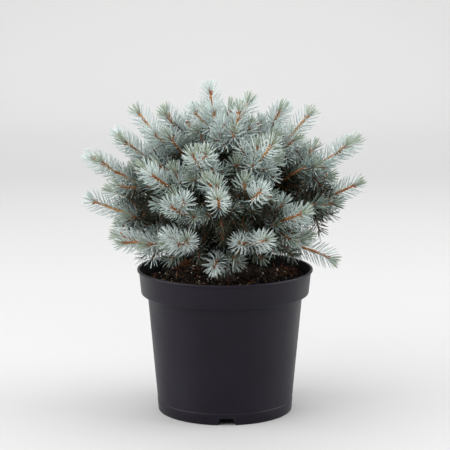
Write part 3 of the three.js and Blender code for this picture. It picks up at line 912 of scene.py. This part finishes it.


# Which tone each needle takes. It is palest at the tip of its mass and darker inwards, partly as the bloom
# of young growth and partly as painted shade; lighter with height above the middle and a little lighter
# below it, as painted light; darkest in a band between the tiers of the crown, as painted shade; and darker
# on old shoots low in the crown, as old needles and painted shade.
def tonesOf(shootHere, start, inTuft, random):
    root, tip = shootHere["mass"]["limb"][0], shootHere["mass"]["point"]
    share = (start - root) @ (tip - root) / ((tip - root) @ (tip - root))
    rise = start[:, 2] - bloom_and_painted_light["middle"]
    # Painted light: lighter with height above the middle, and a little lighter below it.
    light = share + np.where(rise > 0, bloom_and_painted_light["above"], bloom_and_painted_light["paintedLightBelow"]) * rise
    light += random.normal(0, bloom_and_painted_light["spread"]) + random.normal(0, bloom_and_painted_light["spread"], len(start))
    # Painted shade: a darker band between the tiers of the crown.
    light -= bloom_and_painted_light["paintedShadeBand"] * np.exp(-((start[:, 2] - bloom_and_painted_light["paintedShadeHeight"]) / bloom_and_painted_light["paintedShadeSpread"]) ** 2)
    # Old shoots are darker only low in the crown: old needles and painted shade.
    light -= bloom_and_painted_light["oldAndShadedDrop"] * ((shootHere["age"] >= oldInner) & (start[:, 2] < bloom_and_painted_light["oldAndShadedTop"]))
    tones = len(bloom_and_painted_light["levels"]) - np.digitize(light, bloom_and_painted_light["levels"])
    greenTuft = random.random() < bloom_and_painted_light["greenTufts"] and shootHere["age"] == thisYear
    return np.where(inTuft & (tones < bloom_and_painted_light["paleTones"]) & greenTuft, greenish, tones)


groupHeights = {"top": 385, "foot": 260}


# Which of the six pieces a mass's needles are in.
def groupOf(mass):
    x, y, z = mass["point"]
    if z > groupHeights["top"]:
        return "top"
    if z < groupHeights["foot"]:
        return "foot"
    if abs(x) > abs(y):
        return "right" if x > 0 else "left"
    return "back" if y > 0 else "front"


needleForm = needleShape()
pegForm = shapeOf(rodShape(3, 0, 0.0))
twigForm = shapeOf(rodShape(6, 6))
budBall = ballShape(6, 5)
for v in budBall.verts:
    v.co.z = (v.co.z + 1) / 2
    v.co.x *= 1 - buds["taper"] * v.co.z
    v.co.y *= 1 - buds["taper"] * v.co.z
budForm = shapeOf(budBall)

random = np.random.default_rng(21)
groups = {}
pegs = {}
for shootHere in shoots:
    group = groupOf(shootHere["mass"])
    start, way, bend, size, out, inTuft = needlesOn(shootHere, random)
    width = np.full(len(start), foliage[shootHere["age"]]["width"]) * random.uniform(0.92, 1.08, len(start))
    placed, faces = copiesOf(needleForm, start, way, bend, size, width)
    tones = np.repeat(tonesOf(shootHere, start, inTuft, random), len(needleForm[1]))
    groups.setdefault(group, []).append((placed, faces, tones))
    pegWay = unit(way + out * peg["lean"])
    pegLength = np.full(len(start), peg["length"])
    pegs.setdefault(group, []).append(copiesOf(pegForm, start - pegWay * peg["sunk"], pegWay, pegWay * 0,
                                               pegLength, width * peg["stoutness"]))
for group, parts in groups.items():
    points, triangles = gather([(placed, faces) for placed, faces, _ in parts])
    tones = np.concatenate([tones for _, _, tones in parts])
    name = "needles_" + group
    masked = ["foliage_" + m["name"] for m in plant.values() if groupOf(m) == group]
    keepPiece(name, meshOf(name, points, triangles, tones, False), needleTones, masked)


# Young spruce twigs: orange-brown and ridged by the woody pegs that the needles stand on. The thinnest are
# tan, and last year's have darkened to red-brown.
def twigBark(name, dark, middle, light):
    material, shader = startMaterial(name, middle, 0.7, 0.35)
    place = placeOf(material)
    shade = addNode(material, "ShaderNodeTexNoise", {"Scale": scaleFor(5), "Detail": 3.0},
                    {"Vector": place})
    colour = colourBy(material, shade.outputs["Fac"], [(0.3, dark), (0.5, middle), (0.7, light)])
    link(material, colour, shader.inputs["Base Color"])
    ridges = addNode(material, "ShaderNodeTexVoronoi", {"Scale": scaleFor(1.1)}, {"Vector": place})
    addBump(material, shader, ridges.outputs["Distance"], 0.4, 0.6)
    return material


# Spruce buds: dry overlapping scales, a warm light brown with a slight shine.
def budScales():
    material, shader = startMaterial("Bud scales", "#A3673A", 0.5, 0.45)
    place = placeOf(material)
    scales = addNode(material, "ShaderNodeTexVoronoi", {"Scale": scaleFor(1.3)}, {"Vector": place})
    colour = colourBy(material, scales.outputs["Distance"],
                      [(0.0, "#BD8656"), (0.45, "#A5673A"), (0.9, "#744422")])
    link(material, colour, shader.inputs["Base Color"])
    addBump(material, shader, scales.outputs["Distance"], 0.35, 0.7)
    return material


# A twig is a rod bent along its shoot's curve.
def twigAlong(shootHere):
    points, triangles = twigForm
    t = points[:, 2]
    ahead, side, lift = frameOn(shootHere["curve"], t)
    radius = (shootHere["root"] + (shootHere["tip"] - shootHere["root"]) * t)[:, None]
    placed = pointOn(shootHere["curve"], t) + radius * (side * points[:, 1:2] + lift * points[:, :1])
    return placed, triangles


youngBark = [twigBark("Orange-brown twig bark", "#80502C", "#A0683A", "#B88252"),
             twigBark("Tan twig bark", "#90653C", "#B08350", "#C49B6A"),
             twigBark("Red-brown twig bark", "#331D0F", "#472916", "#5C3A20")]
tanShare = 0.25
redBrown = len(youngBark) - 1
thin = [s for s in shoots if s["age"] != onBough]
twigs = gather([twigAlong(s) for s in thin])
tones = np.repeat([redBrown if s["age"] != thisYear else int(random.random() < tanShare) for s in thin],
                  len(twigForm[1]))
keepPiece("twigs", meshOf("twigs", *twigs, tones), youngBark)
for side, chosen in (("upper", ("top", "front", "left")), ("lower", ("right", "back", "foot"))):
    name = "needle_pegs_" + side
    points = gather([part for group in chosen for part in pegs.get(group, [])])
    keepPiece(name, meshOf(name, *points), youngBark[:1])

# One bud ends each young shoot, and two or three smaller ones stand just behind it.
start, way, size, width = [], [], [], []
for shootHere in shoots:
    if shootHere["age"] != thisYear:
        continue
    ahead, side, lift = frameOn(shootHere["curve"], 1.0)
    tip = shootHere["curve"][2]
    start.append(tip - ahead * buds["sunk"])
    way.append(ahead)
    size.append(buds["length"])
    width.append(buds["width"])
    around = random.uniform(0, fullTurn)
    for i in range(int(random.integers(2, 4))):
        angle = around + i * buds["turn"]
        out = side * math.cos(angle) + lift * math.sin(angle)
        start.append(tip - ahead * (buds["back"] + buds["apart"] * i) + out * shootHere["tip"] * 0.8)
        way.append(unit(ahead * 0.9 + out))
        size.append(buds["sideLength"] * random.uniform(*buds["sideSizes"]))
        width.append(buds["sideWidth"])
start, way = np.array(start), np.array(way)
placed, faces = copiesOf(budForm, start, way, way * 0, np.array(size), np.array(width))
keepPiece("buds", meshOf("buds", placed, faces), [budScales()])


# The studio and the camera are in metres, but for the lens and the sensor.
studio = {
    "floor": "#AAAAAA", "near": -5.0, "far": 4.8, "height": 3.2, "width": 12.0, "lean": 0.4, "bend": 2.0,
    "ambient": 0.24,
}
softboxes = {  # place, aim, size and watts
    "key softbox": ((-1.1, -1.8, 2.2), (0, 0, 0.3), (1.6, 1.4), 14),
    "overhead softbox": ((0, 1.05, 2.8), (0, 1.05, 0), (4.2, 4.7), 176),
    "front softbox": ((0, -3.6, 2.8), (0, -3.6, 0), (4.2, 2.4), 60),
    "backdrop softbox": ((0, 2.7, 1.5), (0, 4.8, 0.6), (5.0, 0.8), 38),
    "left softbox": ((-2.2, -0.6, 1.1), (0, 0, 0.3), (3.0, 2.2), 80),
    "right softbox": ((2.4, 0.0, 1.1), (0, 0, 0.3), (2.4, 2.0), 70),
}
camera = {"distance": 2.3414, "height": 0.661, "pitch": 10.09, "lens": 146.39, "sensor": 36}


# A board that lies flat under the plant and curves up behind it.
def backdrop():
    bm = bmesh.new()
    s = studio
    front = [bm.verts.new((x, s["near"], 0)) for x in (-s["width"] / 2, s["width"] / 2)]
    edge = bm.edges.new(front)
    made = bmesh.ops.extrude_edge_only(bm, edges=[edge])["geom"]
    moved = [g for g in made if isinstance(g, bmesh.types.BMVert)]
    bmesh.ops.translate(bm, verts=moved, vec=(0, s["far"] - s["near"], 0))
    corner = next(g for g in made if isinstance(g, bmesh.types.BMEdge) and all(v in moved for v in g.verts))
    made = bmesh.ops.extrude_edge_only(bm, edges=[corner])["geom"]
    moved = [g for g in made if isinstance(g, bmesh.types.BMVert)]
    bmesh.ops.translate(bm, verts=moved, vec=(0, s["lean"], s["height"]))
    bmesh.ops.bevel(bm, geom=[corner], offset=s["bend"], offset_type="OFFSET", affect="EDGES", segments=32,
                    profile=0.5, material=-1)
    bmesh.ops.recalc_face_normals(bm, faces=bm.faces[:])
    mesh = bpy.data.meshes.new("backdrop")
    for face in bm.faces:
        face.smooth = True
    bm.to_mesh(mesh)
    bm.free()
    mesh.materials.append(startMaterial("Painted studio board", s["floor"], 0.95, 0.1)[0])
    sheet = bpy.data.objects.new("backdrop", mesh)
    bpy.context.scene.collection.objects.link(sheet)


def softLight(name, place, aim, size, watts):
    data = bpy.data.lights.new(name, "AREA")
    data.shape = "RECTANGLE"
    data.size, data.size_y = size
    data.energy = watts
    lamp = bpy.data.objects.new(name, data)
    bpy.context.scene.collection.objects.link(lamp)
    lamp.location = place
    lamp.rotation_euler = (Vector(aim) - Vector(place)).to_track_quat("-Z", "Y").to_euler()


backdrop()
for name, settings in softboxes.items():
    softLight(name, *settings)
world = bpy.data.worlds.new("studio")
world.use_nodes = True
world.node_tree.nodes["Background"].inputs["Color"].default_value = (1, 1, 1, 1)
world.node_tree.nodes["Background"].inputs["Strength"].default_value = studio["ambient"]
bpy.context.scene.world = world
bpy.context.scene.view_settings.view_transform = "Standard"

lensData = bpy.data.cameras.new("camera")
lensData.sensor_width = camera["sensor"]
lensData.lens = camera["lens"]
eye = bpy.data.objects.new("camera", lensData)
bpy.context.scene.collection.objects.link(eye)
eye.location = (0, -camera["distance"], camera["height"])
eye.rotation_euler = ((90 - camera["pitch"]) * degree, 0, 0)
bpy.context.scene.camera = eye
